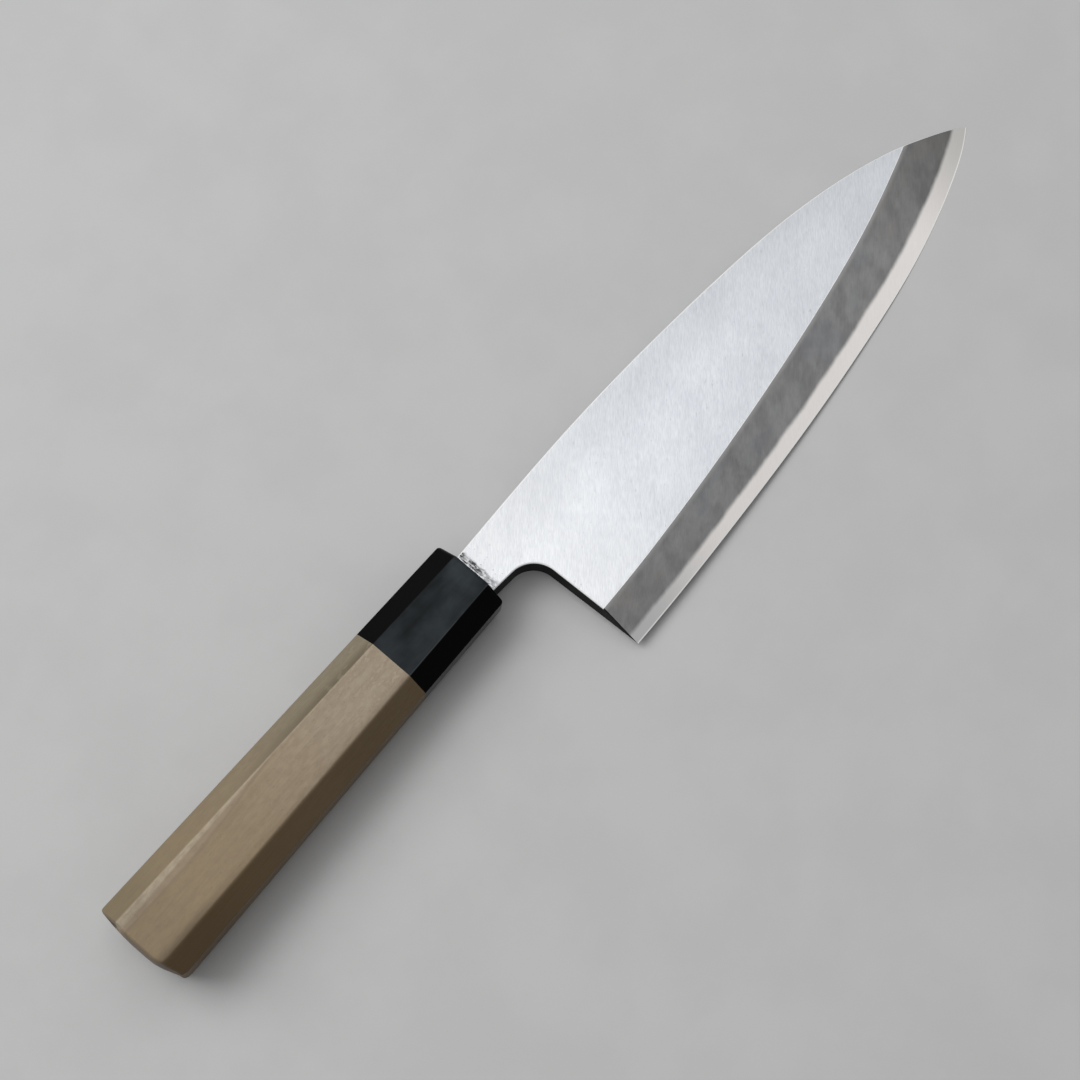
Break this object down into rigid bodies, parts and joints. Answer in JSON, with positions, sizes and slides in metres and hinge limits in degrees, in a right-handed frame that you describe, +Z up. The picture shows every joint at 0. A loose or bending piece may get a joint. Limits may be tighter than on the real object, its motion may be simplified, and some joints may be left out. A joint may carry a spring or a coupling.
{
  "type": "deba knife",
  "caption": "Japanese single-bevel deba knife: thick blade with ridge, grey bevel and hard steel edge, horn ferrule and eight-sided pale wooden handle",
  "frame": {"origin": "on the table, under the middle of the box round the knife as it lies on its flat back", "axes": "+X along the handle towards the point, +Y from the cutting edge towards the spine, +Z up from the table, with the bevelled side of the blade up"},
  "size_m": [0.3302, 0.0606, 0.027],
  "materials": {
    "soft_iron": "ground, bevel dull grey",
    "hard_steel": "ground and honed",
    "horn": "polished",
    "pale_wood": "bare, sanded smooth",
    "resin": "set resin"
  },
  "bodies": {
    "root": {"blade_body": "soft_iron", "cutting_steel": "hard_steel", "ferrule": "horn", "handle_body": "pale_wood", "mouth_seal": "resin", "tang_bed": "resin", "ferrule_glue": "resin"}
  },
  "joints": []
}
